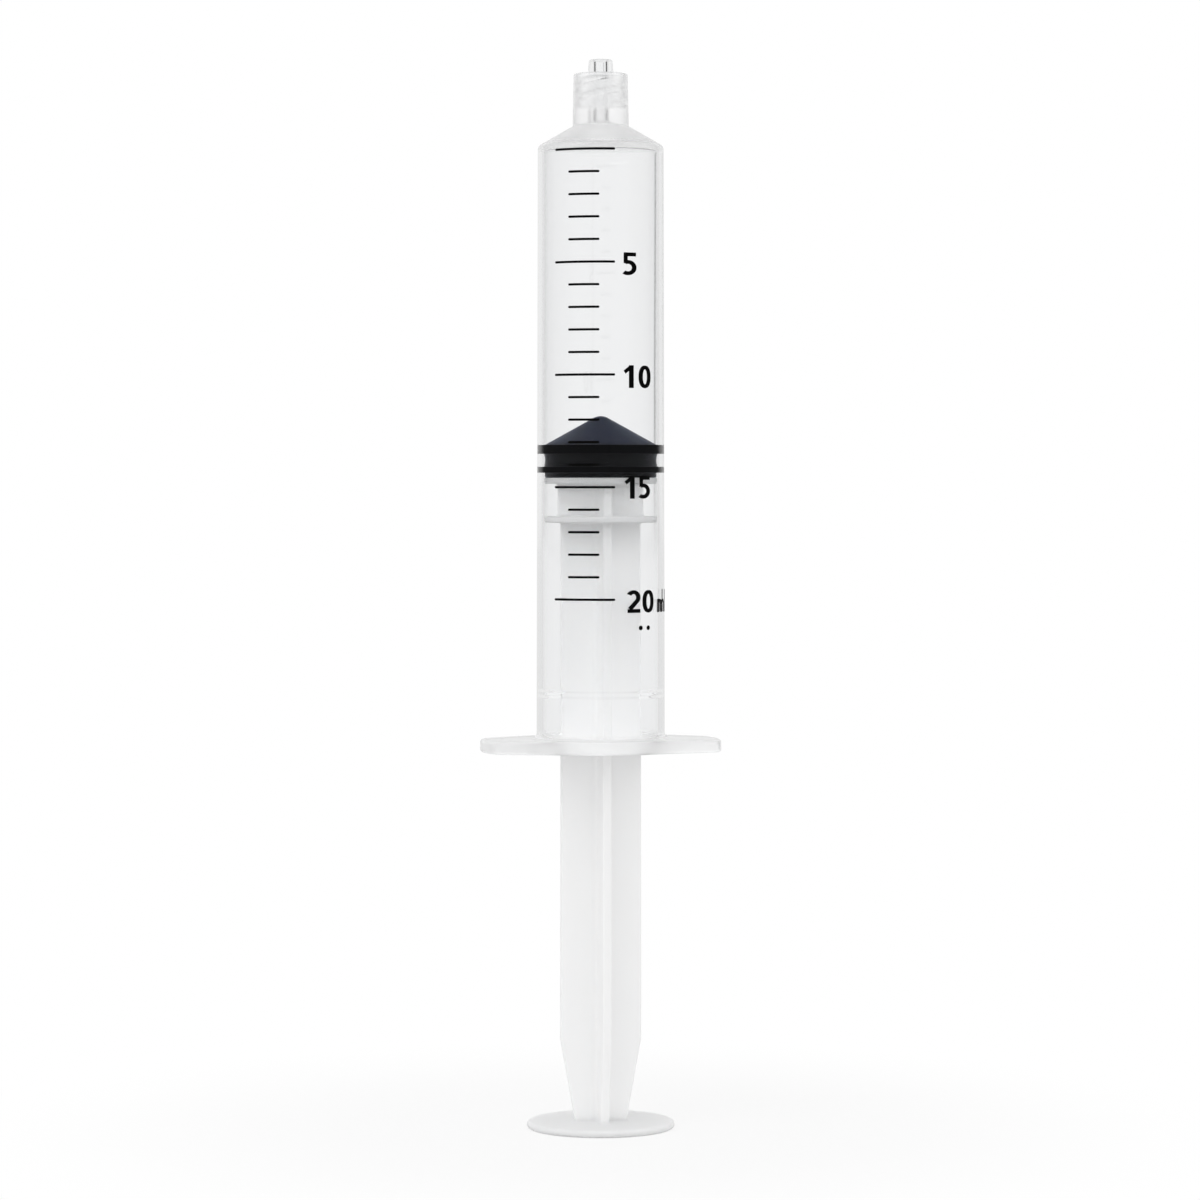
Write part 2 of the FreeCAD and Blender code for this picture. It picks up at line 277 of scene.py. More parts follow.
def thread(angles, z):
    """How far the thread stands in from the collar's wall: for each start, a ridge with slanted
    flanks round the line that climbs one lead a turn, fading at both ends."""
    pitch = THREAD_LEAD / THREAD_STARTS
    low = COLLAR_FLOOR_Z + THREAD_END + THREAD_ROOT / 2
    high = RIM_Z - THREAD_END - THREAD_ROOT / 2
    turn = angles / (2 * math.pi) * THREAD_LEAD
    away = np.abs((z - low - turn + pitch / 2) % pitch - pitch / 2)
    slant = (THREAD_ROOT / 2 - away) / ((THREAD_ROOT - THREAD_CREST) / 2)
    ends = np.clip(np.minimum(z - low + THREAD_ROOT / 2, high + THREAD_ROOT / 2 - z) / THREAD_FADE, 0, 1)
    ridge = np.clip(slant, 0, 1)
    return THREAD_DEPTH * ridge * ridge * (3 - 2 * ridge) * ends


def bore_path():
    """Inside of the barrel from its mouth up: flared mouth, bead, bore, shoulder, nozzle bore."""
    half, crest = BEAD_LENGTH / 2, BEAD_CREST / 2
    path = rounded([
        (BORE + MOUTH_FLARE, MOUTH_Z, 0),
        (BORE, MOUTH_Z + MOUTH_FLARE_LENGTH, MOUTH_FLARE_ROUND),
        (BORE, BEAD_Z - half, SOFT_ROUND),
        (BORE - BEAD_HEIGHT, BEAD_Z - crest, SOFT_ROUND),
        (BORE - BEAD_HEIGHT, BEAD_Z + crest, SOFT_ROUND),
        (BORE, BEAD_Z + half, SOFT_ROUND),
        (BORE, BORE_END_Z, FINE_ROUND),
        (NOZZLE_BORE, inner_cone(NOZZLE_BORE), SOFT_ROUND),
        (NOZZLE_BORE, TIP_Z, NOZZLE_ROUND),
        ((NOZZLE_BORE + TIP_RADIUS) / 2, TIP_Z, 0),
    ])
    return split_long(path, LONGEST_STEP)


def tip_path():
    """Luer taper from the middle of its end face down to the collar's floor."""
    root = TIP_RADIUS + TIP_LENGTH * TIP_TAPER / 2
    path = rounded([
        ((NOZZLE_BORE + TIP_RADIUS) / 2, TIP_Z, 0),
        (TIP_RADIUS, TIP_Z, TIP_ROUND),
        (root, COLLAR_FLOOR_Z, FINE_ROUND),
        (COLLAR_INSIDE, COLLAR_FLOOR_Z, 0),
    ])
    return split_long(path[1:], 2.0)


def outside_path():
    """From the collar's rim down its outside, over the shoulder and down the tube."""
    root_z = MOUTH_Z + FLANGE_ROOT_THICKNESS
    path = rounded([
        (COLLAR_INSIDE, RIM_Z, 0),
        (COLLAR_MOUTH, RIM_Z, COLLAR_ROUND),
        (COLLAR_BASE, outer_cone(COLLAR_BASE), COLLAR_FOOT_ROUND),
        (SHOULDER_RADIUS, CORNER_Z, CORNER_ROUND),
        (wall_radius(root_z), root_z, FLANGE_ROOT_ROUND),
        (wall_radius(root_z) + 2 * FLANGE_ROOT_ROUND, root_z, 0),
    ])
    return split_long(path[:-1], LONGEST_STEP)


def flange_rows(angles, start, end):
    """Flange from the foot of its root out over its edge and back under to the mouth: its width
    is shared out evenly at each angle, it thins towards the tips, and its edge is a half round."""
    edge = flange_reach(angles)
    spread = np.linspace(0, 1, 9)[1:, None]
    slope = (FLANGE_ROOT_THICKNESS - FLANGE_TIP_THICKNESS) / (FLANGE_REACH - FLANGE_MIDDLE)

    def thickness(radius):
        return FLANGE_ROOT_THICKNESS - slope * np.maximum(radius - FLANGE_MIDDLE, 0)

    flat = edge - FLANGE_EDGE
    top_radius = start + (flat - start) * spread
    top = MOUTH_Z + thickness(top_radius)
    lean = np.radians(np.linspace(90, -90, 11))[1:-1, None]
    lift = np.where(lean > 0, thickness(edge) - FLANGE_EDGE, FLANGE_EDGE)
    rim_radius = flat + FLANGE_EDGE * np.cos(lean)
    rim = MOUTH_Z + lift + FLANGE_EDGE * np.sin(lean)
    under_radius = flat + (end - flat) * np.linspace(0, 1, 9)[:-1, None]
    under = MOUTH_Z + 0 * under_radius
    return np.concatenate([top_radius, rim_radius, under_radius]), np.concatenate([top, rim, under])


def barrel_clear():
    """One closed surface: a section carried round the axis, with the thread pressed into the
    collar's inner wall and a flange whose reach depends on the angle."""
    angles = barrel_angles()
    level = 0 * angles
    bore, tip, outside = bore_path(), tip_path(), outside_path()
    collar = np.linspace(COLLAR_FLOOR_Z, RIM_Z, COLLAR_ROWS + 2)[1:-1, None] + level
    collar_radius = COLLAR_INSIDE - thread(angles, collar)
    flange_radius, flange = flange_rows(angles, outside[-1, 0], BORE + MOUTH_FLARE)
    radius = np.concatenate([bore[:, :1] + level, tip[:, :1] + level, collar_radius,
                             outside[:, :1] + level, flange_radius])
    height = np.concatenate([bore[:, 1:] + level, tip[:, 1:] + level, collar,
                             outside[:, 1:] + level, flange])
    grid = around(radius, height, angles)
    return round_grid("barrel_clear", grid[::-1], closed=True, sharp=50)


# Printed scale

def on_wall(across, z, depth):
    """Point of the tube's outside at an arc length from the front: the angle is the arc length
    over the wall's radius, and depth is how far it stands off the wall."""
    radius = wall_radius(z)
    angle = -math.pi / 2 + across / radius
    return around(radius + depth, z, angle)


def ink_stroke(path, pen, taper_ends=False):
    """Strip of ink along a path (across, up), as wide as an oval pen held upright leaves it.

    The pen's edge on each side is where its outline runs along the path: for a normal (p, q)
    and half axes (a, b) that is (a a p, b b q) over the root of (a p)^2 + (b q)^2."""
    path = np.asarray(path, float)
    run = np.gradient(path, axis=0)
    run /= np.linalg.norm(run, axis=1)[:, None]
    normal = np.stack([-run[:, 1], run[:, 0]], -1)
    half = np.array(pen) / 2
    side = normal * half**2 / np.linalg.norm(normal * half, axis=1)[:, None]
    if taper_ends:
        walked = np.concatenate([[0], np.cumsum(np.linalg.norm(np.diff(path, axis=0), axis=1))])
        near = np.minimum(walked, walked[-1] - walked) / half[1]
        side *= np.sqrt(np.clip(1 - (1 - np.clip(near, 0.02, 1)) ** 2, 0, 1))[:, None]
    offsets = np.array([-1, 0, 1, 1, 0, -1])[:, None]
    depths = np.array([1, 1, 1, 0, 0, 0]) * (INK_THICKNESS + INK_KEY) - INK_KEY
    flat = path[:, None] + side[:, None] * offsets
    points = on_wall(flat[..., 0], flat[..., 1], depths)
    rows = len(path)
    faces = [cell[::-1] for cell in loop_faces(rows, 6, closed=False)]
    faces += [[0, 1, 2, 3, 4, 5], [(rows - 1) * 6 + k for k in range(5, -1, -1)]]
    return points.reshape(-1, 3), faces


def joined(strokes):
    """Points and faces of several strips as one."""
    points, faces, count = [], [], 0
    for spots, cells in strokes:
        points.append(spots)
        faces += [[k + count for k in cell] for cell in cells]
        count += len(spots)
    return np.concatenate(points), faces


def scale_lines():
    """A line for each millilitre with rounded ends, longer at zero and at each number."""
    strokes = []
    for volume in range(FULL_VOLUME + 1):
        z = ZERO_Z - volume * ML_HEIGHT
        start, end = LONG_LINE if volume % NUMBERED_EVERY == 0 else SHORT_LINE
        share = (1 - np.cos(np.linspace(0, math.pi, 61))) / 2
        across = np.radians(start + (end - start) * share) * wall_radius(z)
        strokes.append(ink_stroke(np.stack([across, z + 0 * across], -1),
                                  (LINE_WIDTH + INK_SPREAD,) * 2, taper_ends=True))
    return add_mesh("scale_lines", *joined(strokes))


# Numbers, unit and dots, with distances across counted along the wall from the front. A pen is
# an oval, by its width and its height.
DIGIT_HEIGHT, DIGIT_DROP = 3.66, 0.32
DIGIT_WIDTHS = {"0": 2.68, "1": 1.81, "2": 2.43, "5": 2.35}
DIGIT_STARTS = {5: 2.06, 10: 2.06, 15: 2.24, 20: 2.73}
DIGIT_RISES = {15: 0.3}
GLYPH_GAP, ONE_GAP = 0.44, 0.5
PEN = (0.88, 0.62)
FLAG_PEN, STEM_PEN = (0.6, 0.62), (0.72, 0.72)
UNIT_START, UNIT_PITCH, UNIT_GAP = 9.45, 1.36, 1.22
UNIT_HEIGHT, UNIT_ARCH, UNIT_SHORT = 2.14, 0.75, 0.5
UNIT_PEN, UNIT_ARCH_PEN = (0.66, 0.66), (0.66, 0.46)
DOTS_ACROSS, DOTS_DROP, DOT_RADIUS = (5.25, 6.91), 2.45, 0.385


def line_to(*corners, count=9):
    """Straight path through corners."""
    corners = np.array(corners, float)
    share = np.linspace(0, len(corners) - 1, count)
    return np.stack([np.interp(share, np.arange(len(corners)), corners[:, k]) for k in (0, 1)], -1)


def oval(centre, half, start, end, count=33, power=2.0):
    """Arc of an oval from one angle to another in degrees. A power above 2 squares it up: each
    coordinate is the half axis times the sign-keeping 2/power root of the cosine or sine."""
    angle = np.radians(np.linspace(start, end, count))
    shape = np.stack([np.cos(angle), np.sin(angle)], -1)
    return np.array(centre) + np.array(half) * np.sign(shape) * np.abs(shape) ** (2 / power)


def numeral(digit):
    """Strokes of one numeral standing on (0, 0), each with its pen."""
    w, h, (thick, thin) = DIGIT_WIDTHS[digit], DIGIT_HEIGHT, PEN
    if digit == "0":
        ring = oval((w / 2, h / 2), ((w - thick) / 2, (h - thin) / 2), 90, 450, 65, 2.3)
        return [(ring, PEN)]
    if digit == "1":
        stem = line_to((w - thick / 2, 0), (w - thick / 2, h))
        flag = line_to((0.16, h - 1.12), (w - 0.62, h - 0.33))
        return [(stem, (thick, thick)), (flag, FLAG_PEN)]
    if digit == "2":
        top = oval((w / 2 - 0.13, h - 1.17), (w / 2 - 0.28, 1.17 - thin / 2), 150, -35, 25)
        sweep = line_to(top[-1], (0.42, thin), count=7)
        base = line_to((0, thin / 2), (w, thin / 2))
        return [(np.concatenate([top, sweep[1:]]), PEN), (base, (thin, thin))]
    bar = line_to((0.02, h - thin / 2), (w - 0.1, h - thin / 2))
    stem = line_to((0.36, h - thin / 2), (0.36, h - 1.75))
    bowl = oval((w / 2 - 0.42, 1.22), (w / 2 + 0.42 - thick / 2, 1.22 - thin / 2), 118, -128, 33)
    return [(bar, (thin, thin)), (stem, STEM_PEN), (bowl, PEN)]


def unit_letters():
    """Strokes of the unit's two small letters: an m with three stems and two arches, and an l."""
    stems = UNIT_START + UNIT_PEN[0] / 2 + UNIT_PITCH * np.arange(3)
    tops = [UNIT_HEIGHT, UNIT_HEIGHT - UNIT_SHORT, UNIT_HEIGHT - UNIT_SHORT]
    strokes = [(line_to((stem, 0), (stem, top)), UNIT_PEN) for stem, top in zip(stems, tops)]
    half = (UNIT_PITCH / 2, UNIT_ARCH - UNIT_ARCH_PEN[1] / 2)
    for stem in stems[:2]:
        arch = oval((stem + UNIT_PITCH / 2, UNIT_HEIGHT - UNIT_ARCH), half, 165, 0, 21)
        strokes.append((arch, UNIT_ARCH_PEN))
    last = stems[-1] + UNIT_GAP
    strokes.append((line_to((last, 0), (last, DIGIT_HEIGHT)), UNIT_PEN))
    return strokes


def dot(centre, radius):
    """Round spot of ink, as a short strip whose ends taper to a circle."""
    across = radius * np.cos(np.linspace(math.pi, 0, 25))
    path = np.stack([centre[0] + across, centre[1] + 0 * across], -1)
    return ink_stroke(path, (2 * radius, 2 * radius), taper_ends=True)


def number_foot(volume):
    """Height on which a number stands beside its line."""
    middle = ZERO_Z - volume * ML_HEIGHT - DIGIT_DROP
    return middle - DIGIT_HEIGHT / 2 + DIGIT_RISES.get(volume, 0)


def scale_numbers():
    """Numbers beside the long lines, the unit after the last, and two register dots."""
    strokes = []
    for volume, across in DIGIT_STARTS.items():
        for digit in str(volume):
            strokes += [ink_stroke(path + (across, number_foot(volume)), pen)
                        for path, pen in numeral(digit)]
            across += DIGIT_WIDTHS[digit] + GLYPH_GAP + ONE_GAP * (digit == "1")
    foot = number_foot(FULL_VOLUME)
    strokes += [ink_stroke(path + (0, foot), pen) for path, pen in unit_letters()]
    strokes += [dot((across, foot - DOTS_DROP), DOT_RADIUS) for across in DOTS_ACROSS]
    return add_mesh("scale_numbers", *joined(strokes))


# Stopper

def stopper_rubber():
    """Closed surface from the nose down over the ribs, round the skirt and up the hollow. The
    ribs are pressed a hair into the bore, and the waist between them is hollowed in a curve:
    its depth is a step and the sine of the way along it, to a power below 1."""
    rib, body, seat = BORE + RIB_PRESS, BORE - BODY_GAP, STOPPER_SEAT
    low, high, top = seat + GROOVE_LOW, seat + GROOVE_HIGH, seat + RIBS_TOP
    swing = np.linspace(0.06, NOSE_ANGLE, 8)[:, None]
    nose = np.concatenate([NOSE_RADIUS * np.sin(swing),
                           STOPPER_HIGH[2] - NOSE_RADIUS + NOSE_RADIUS * np.cos(swing)], 1)
    way = np.linspace(0, 1, 13)[:, None]
    depth = WAIST_STEP + WAIST_DEPTH * np.sin(math.pi * way) ** WAIST_POWER
    waist = np.concatenate([rib - depth, high + (low - high) * way], 1)
    cone = rounded([
        (*nose[-1], 0),
        (body, top, CONE_FOOT_ROUND),
        (rib, top, RIB_EDGE_ROUND),
        (rib, high, RIB_EDGE_ROUND),
        (*waist[0], 0),
    ])
    neck, head = HEAD_NECK_RADIUS + HOLLOW_GAP, HEAD_RADIUS + HOLLOW_GAP
    head_z = seat + HEAD_NECK_LENGTH - HOLLOW_GAP
    hollow_top = head_z + HEAD_RIM + HEAD_CONE + 2 * HOLLOW_GAP
    lower = rounded([
        (*waist[-1], 0),
        (rib, low, RIB_EDGE_ROUND),
        (rib, seat + LOW_RIB, RIB_EDGE_ROUND),
        (body, seat + SKIRT_TOP, 0.1),
        (body, seat, FINE_ROUND),
        (neck, seat, SOFT_ROUND),
        (neck, head_z, 0.2),
        (head, head_z, 0.2),
        (head, head_z + HEAD_RIM, SOFT_ROUND),
        (HEAD_TOP + HOLLOW_GAP, hollow_top, 0.4),
        (0, hollow_top, 0),
    ])
    path = split_long(np.concatenate([nose, cone[1:], waist[1:], lower[1:-1]]), 1.2)
    grid = turned(path, even_angles(192))
    return round_grid("stopper_rubber", grid[::-1], closed=False, sharp=50)


# Plunger rod

# Points of a cross from the middle of a rib's tip to the diagonal
EIGHTH = 23


def cross_loops(width, thickness, height):
    """Rows of points round a cross of four ribs. An eighth of it runs from the middle of a rib's
    tip round the tip's corner, along the flank and round the fillet to the diagonal. Mirrored in
    the diagonal it is a quarter, and four quarter turns close the loop."""
    w, t, z = (np.asarray(value, float).reshape(-1, 1) for value in (width, thickness, height))
    tip, root = RIB_TIP_ROUND, RIB_ROOT_ROUND
    corner = np.radians(np.linspace(0, 90, 6))
    fillet = np.radians(np.linspace(270, 225, 8))
    flank = np.linspace(0, 1, 9)[1:-1]
    tip_x, flank_y = w / 2, t / 2
    x = np.concatenate([
        tip_x + np.zeros(2),
        tip_x - tip + tip * np.cos(corner),
        tip_x - tip + (flank_y + root - tip_x + tip) * flank,
        flank_y + root + root * np.cos(fillet),
    ], 1)
    y = np.concatenate([
        (flank_y - tip) * np.array([0, 0.5]),
        flank_y - tip + tip * np.sin(corner),
        flank_y + 0 * flank,
        flank_y + root + root * np.sin(fillet),
    ], 1)
    quarter = np.stack([np.concatenate([x, y[:, -2:0:-1]], 1),
                        np.concatenate([y, x[:, -2:0:-1]], 1)], -1)
    turns = [quarter]
    for _ in range(3):
        before = turns[-1]
        turns.append(np.stack([-before[..., 1], before[..., 0]], -1))
    flat = np.concatenate(turns, 1)
    return np.concatenate([flat, z[:, :, None] + 0 * flat[..., :1]], -1)


def circle_loops(path):
    """Rows of circles with as many points as a cross has."""
    return turned(np.asarray(path, float), even_angles(8 * (EIGHTH - 1)))


def flared(width, z, up):
    """Rows of a cross that spreads into a face at z by a quarter-round fillet, going up from
    the face or up to it."""
    angle = np.radians(np.linspace(0, 90, 5))
    spread, rise = RIB_FLARE * (1 - np.sin(angle)), RIB_FLARE * (1 - np.cos(angle))
    rows = cross_loops(width + 2 * spread, RIB_THICKNESS + 2 * spread, z + (rise if up else -rise))
    return rows if up else rows[::-1]


def disc_rows(low):
    """Rows of a guide disc, from its underside beside the ribs out round its edge and back."""
    high = low + DISC_THICKNESS
    edge = rounded([(DISC_INNER, low, 0), (DISC_RADIUS, low, DISC_ROUND),
                    (DISC_RADIUS, high, DISC_ROUND), (DISC_INNER, high, 0)], step=22)
    return circle_loops(edge)


def rod_moulding():
    """One closed stack of loops from the middle of the thumb disc's face up to the head: circles
    for the discs and the head, crosses for the ribs between them."""
    rim = THUMB_THICKNESS / 2 - 0.02
    face = [(POLE_RING, 0)]
    for radius in GRIP_RINGS:
        swing = np.linspace(-1, 1, 9)
        groove = GRIP_DEPTH / 2 * (1 + np.cos(math.pi * swing))
        face += list(zip(radius + GRIP_HALF_WIDTH * swing, groove))
    thumb = rounded([(THUMB_FACE_EDGE, 0, 0), (THUMB_RADIUS, 0, rim),
                     (THUMB_RADIUS, THUMB_THICKNESS, rim), (THUMB_BACK_EDGE, THUMB_THICKNESS, 0)], step=18)
    foot_top = THUMB_THICKNESS + FOOT_LENGTH
    head_disc = STOPPER_SEAT - DISC_THICKNESS
    lower_disc = head_disc - DISC_GAP - DISC_THICKNESS
    rib_z = np.linspace(foot_top, lower_disc - RIB_END_GAP, 18)
    rib_width = np.interp(rib_z, [foot_top, lower_disc], [ROD_LOWER_WIDTH, ROD_UPPER_WIDTH])
    foot_z = np.linspace(THUMB_THICKNESS + RIB_END_GAP, foot_top - 0.3, 6)
    foot_width = np.interp(foot_z, [THUMB_THICKNESS, foot_top], [FOOT_WIDTH, ROD_LOWER_WIDTH])
    neck_low = lower_disc + DISC_THICKNESS
    neck_z = np.linspace(neck_low + 0.8, head_disc - 0.8, 4)
    head_z = STOPPER_SEAT + HEAD_NECK_LENGTH
    head = rounded([
        (HEAD_FOOT, STOPPER_SEAT, 0),
        (HEAD_NECK_RADIUS, STOPPER_SEAT, FINE_ROUND),
        (HEAD_NECK_RADIUS, head_z, 0.1),
        (HEAD_RADIUS, head_z, 0.15),
        (HEAD_RADIUS, head_z + HEAD_RIM, SOFT_ROUND),
        (HEAD_TOP, ROD_HIGH[2], 0.4),
        (POLE_RING, ROD_HIGH[2], 0),
    ])
    grid = np.concatenate([
        circle_loops(face),
        circle_loops(thumb),
        flared(FOOT_WIDTH, THUMB_THICKNESS, up=True),
        cross_loops(foot_width, RIB_THICKNESS + 0 * foot_z, foot_z),
        cross_loops(rib_width, RIB_THICKNESS + 0 * rib_z, rib_z),
        flared(ROD_UPPER_WIDTH, lower_disc, up=False),
        disc_rows(lower_disc),
        flared(ROD_NECK_WIDTH, neck_low, up=True),
        cross_loops(ROD_NECK_WIDTH + 0 * neck_z, RIB_THICKNESS + 0 * neck_z, neck_z),
        flared(ROD_NECK_WIDTH, head_disc, up=False),
        disc_rows(head_disc)[:-1],
        circle_loops(head),
    ])
    return round_grid("rod_moulding", grid, closed=False, sharp=40)


# Shader maths

class Field:
    """A value socket. Operators between fields and numbers add Math nodes."""

    def __init__(self, nodes, socket):
        self.nodes, self.socket = nodes, socket

    def maths(self, operation, *others, swap=False):
        values = [self, *others][::-1] if swap else [self, *others]
        return self.nodes.field("ShaderNodeMath", {"operation": operation}, dict(enumerate(values)))

    def __add__(self, other):
        return self.maths("ADD", other)

    def __sub__(self, other):
        return self.maths("SUBTRACT", other)

    def __rsub__(self, other):
        return self.maths("SUBTRACT", other, swap=True)

    def __mul__(self, other):
        return self.maths("MULTIPLY", other)

    def __pow__(self, other):
        return self.maths("POWER", other)

    __radd__, __rmul__ = __add__, __mul__

    def between(self, low, high):
        """0 below low, 1 above high and a smooth step between them."""
        return self.nodes.field("ShaderNodeMapRange", {"interpolation_type": "SMOOTHSTEP"},
                                {"Value": self, "From Min": low, "From Max": high})

    def reaches(self, count):
        """1 where a whole number is at least the count, else 0."""
        return self.between(count - 0.6, count - 0.4)


class Nodes:
    """Adds nodes to one tree. A node takes its settings first, then its inputs by name or
    number, each a value, a socket or a field."""

    def __init__(self, tree):
        self.tree = tree
        tree.nodes.clear()

    def node(self, kind, settings=None, inputs=None):
        node = self.tree.nodes.new(kind)
        for name, value in (settings or {}).items():
            setattr(node, name, value)
        for key, value in (inputs or {}).items():
            socket = value.socket if isinstance(value, Field) else value
            if isinstance(socket, bpy.types.NodeSocket):
                self.tree.links.new(socket, node.inputs[key])
            else:
                node.inputs[key].default_value = value
        return node

    def field(self, kind, settings=None, inputs=None, output=0):
        return Field(self, self.node(kind, settings, inputs).outputs[output])

    def place(self, scale=(1, 1, 1)):
        """Object coordinates in millimetres, scaled."""
        spot = self.node("ShaderNodeTexCoord").outputs["Object"]
        size = tuple(value / MM for value in scale)
        return self.node("ShaderNodeMapping", None, {"Vector": spot, "Scale": size}).outputs[0]

    def split(self, vector):
        parts = self.node("ShaderNodeSeparateXYZ", None, {0: vector}).outputs
        return [Field(self, part) for part in parts]

    def ray(self, *names):
        """Fields of what a ray knows of its way so far."""
        known = self.node("ShaderNodeLightPath").outputs
        return [Field(self, known[name]) for name in names]

    def noise(self, size, detail=2.0, stretch=(1, 1, 1)):
        """Noise about 0.5, its blobs about that many millimetres across."""
        spot = self.place(tuple(value / size for value in stretch))
        return self.field("ShaderNodeTexNoise", None, {"Vector": spot, "Scale": 1.0, "Detail": detail})

    def blend(self, share, dark, light):
        """Colour between two, by a share from 0 to 1."""
        mix = self.node("ShaderNodeMix", {"data_type": "RGBA", "clamp_factor": True})
        self.tree.links.new(share.socket, mix.inputs[0])
        mix.inputs[6].default_value = (*dark, 1)
        mix.inputs[7].default_value = (*light, 1)
        return mix.outputs[2]

    def bump(self, height, strength):
        """Normal of a height field in millimetres."""
        return self.node("ShaderNodeBump", None, {
            "Height": height * MM, "Strength": strength, "Distance": 1.0}).outputs[0]

    def surface(self, inputs):
        shader = self.node("ShaderNodeBsdfPrincipled", None, inputs)
        self.node("ShaderNodeOutputMaterial", None, {"Surface": shader.outputs[0]})


def new_finish(name):
    material = bpy.data.materials.new(name)
    material.use_nodes = True
    return material, Nodes(material.node_tree)


# Heights between which the frost and the thin foot of the collar, where the frost's painted glow is
# weaker, begin and end
SHOULDER_FROST, RIM_CLEAR = (BORE_END_Z - 0.3, BORE_END_Z + 2.0), (RIM_Z - 0.5, RIM_Z + 0.3)
FLANGE_CLEAR = (MOUTH_Z + 2.0, MOUTH_Z + 4.0)
THIN_FOOT, THIN_TOP = (RIM_Z - 8.4, RIM_Z - 8.0), (RIM_Z - 6.2, RIM_Z - 5.4)

# Counts of reflections and of all bounces at which a path of light ends, the painted light that the wall's
# emission gives it there, and the level of the frost's painted glow
LAST_MIRROR, LAST_BOUNCE, LOST_LEVEL = 5, 13, 0.85
FROST_PAINTED_GLOW = 0.14


def clear_plastic():
    """Clear polypropylene: faint flow lines along the tube, and frost on the collar, the shoulder
    and the flange. The frost has a painted glow, an emission where a ray has just entered it, and a ray
    that would end in the wall at the last bounce is given painted light by emission in place of what it
    has lost."""
    material, nodes = new_finish("clear_plastic")
    x, _, z = nodes.split(nodes.place())
    flow = nodes.noise(0.9, 2.0, (1, 1, 0.06))
    cloud = nodes.noise(9.0, 3.0)
    collar = z.between(*SHOULDER_FROST) * (1 - z.between(*RIM_CLEAR))
    flange = 1 - z.between(*FLANGE_CLEAR)
    frost = collar + flange
    thin = z.between(*THIN_FOOT) - z.between(*THIN_TOP)
    # painted glow: emission on the collar, weaker on its thin foot, and on the flange, stronger away from
    # the middle along x
    painted_glow = collar * (1 - thin * 0.9) + flange * (0.1 + (x * x).between(20.0, 130.0) * 0.9)
    mirrored, bounced, crossed = nodes.ray("Glossy Depth", "Ray Depth", "Transmission Depth")
    entered = crossed.reaches(1) * (1 - crossed.reaches(2)) * (1 - mirrored.reaches(1))
    lost = mirrored.reaches(LAST_MIRROR).maths("MAXIMUM", bounced.reaches(LAST_BOUNCE))
    # painted light: emission for rays lost at the last bounce, plus the frost's painted glow
    light = lost * (LOST_LEVEL + frost * (1 - LOST_LEVEL)) + entered * painted_glow * FROST_PAINTED_GLOW
    nodes.surface({
        "Base Color": nodes.blend(cloud * 0.5 + frost, (0.972, 0.976, 0.98), (0.99, 0.992, 0.994)),
        "Roughness": 0.035 + cloud * 0.02 + frost * 0.26,
        "IOR": 1.49,
        "Transmission Weight": 1.0,
        "Emission Color": nodes.blend(light, (0.0, 0.0, 0.0), (1.0, 1.0, 1.0)),
        "Emission Strength": 1.0,
        "Normal": nodes.bump(flow * 0.0016 + nodes.noise(0.25) * 0.0002, 1.0),
    })
    material.cycles.emission_sampling = "NONE"
    return material


def milky_plastic():
    """Natural polypropylene of the rod: cloudy white that light sinks into, with a fine satin
    grain from the mould and faint streaks along the ribs."""
    material, nodes = new_finish("milky_plastic")
    streak = nodes.noise(1.6, 3.0, (1, 1, 0.08))
    cloud = nodes.noise(7.0, 3.0)
    grain = nodes.noise(0.22, 2.0)
    share = cloud * 0.6 + streak * 0.4
    nodes.surface({
        "Base Color": nodes.blend(share, (0.925, 0.927, 0.929), (0.955, 0.956, 0.956)),
        "Roughness": 0.34 + grain * 0.12 + cloud * 0.06,
        "IOR": 1.49,
        "Subsurface Weight": 0.8,
        "Subsurface Radius": (1.0, 0.98, 0.96),
        "Subsurface Scale": 0.0035,
        "Normal": nodes.bump(grain * 0.004 + streak * 0.006, 1.0),
    })
    return material


def dark_rubber():
    """Blue-black rubber: a dull skin with fine grain. The cone, which faces up, is painted lighter and
    bluer than the ribs as painted light, and the ribs are painted darker as painted shade.
    """
    material, nodes = new_finish("dark_rubber")
    grain = nodes.noise(0.18, 3.0)
    cloud = nodes.noise(2.6, 3.0)
    z = nodes.split(nodes.place())[2]
    # painted light and shade: the upward-facing cone lighter and bluer, the ribs darker; the cloud varies
    # the cone's tone at random
    cone = z.between(STOPPER_SEAT + RIBS_TOP - 0.15, STOPPER_SEAT + RIBS_TOP + 0.35)
    base = nodes.blend(cone * (0.75 + cloud * 0.4), (0.004, 0.0045, 0.006), (0.011, 0.015, 0.031))
    nodes.surface({
        "Base Color": base,
        "Roughness": 0.36 + cloud * 0.16 + grain * 0.08,
        "IOR": 1.5,
        "Specular IOR Level": 0.06,
        "Sheen Weight": 0.12,
        "Sheen Roughness": 0.4,
        "Sheen Tint": (0.62, 0.72, 1.0, 1.0),
        "Normal": nodes.bump(grain * 0.006 + cloud * 0.02, 1.0),
    })
    return material


def black_ink():
    """Black screen ink: dense, a little uneven and grainy."""
    material, nodes = new_finish("black_ink")
    grain = nodes.noise(0.12, 3.0)
    patch = nodes.noise(0.8, 2.0)
    nodes.surface({
        "Base Color": nodes.blend(patch, (0.001, 0.001, 0.0011), (0.003, 0.003, 0.0033)),
        "Roughness": 0.42 + grain * 0.2,
        "Specular IOR Level": 0.04,
        "Normal": nodes.bump(grain * 0.003, 1.0),
    })
    return material


# Stage

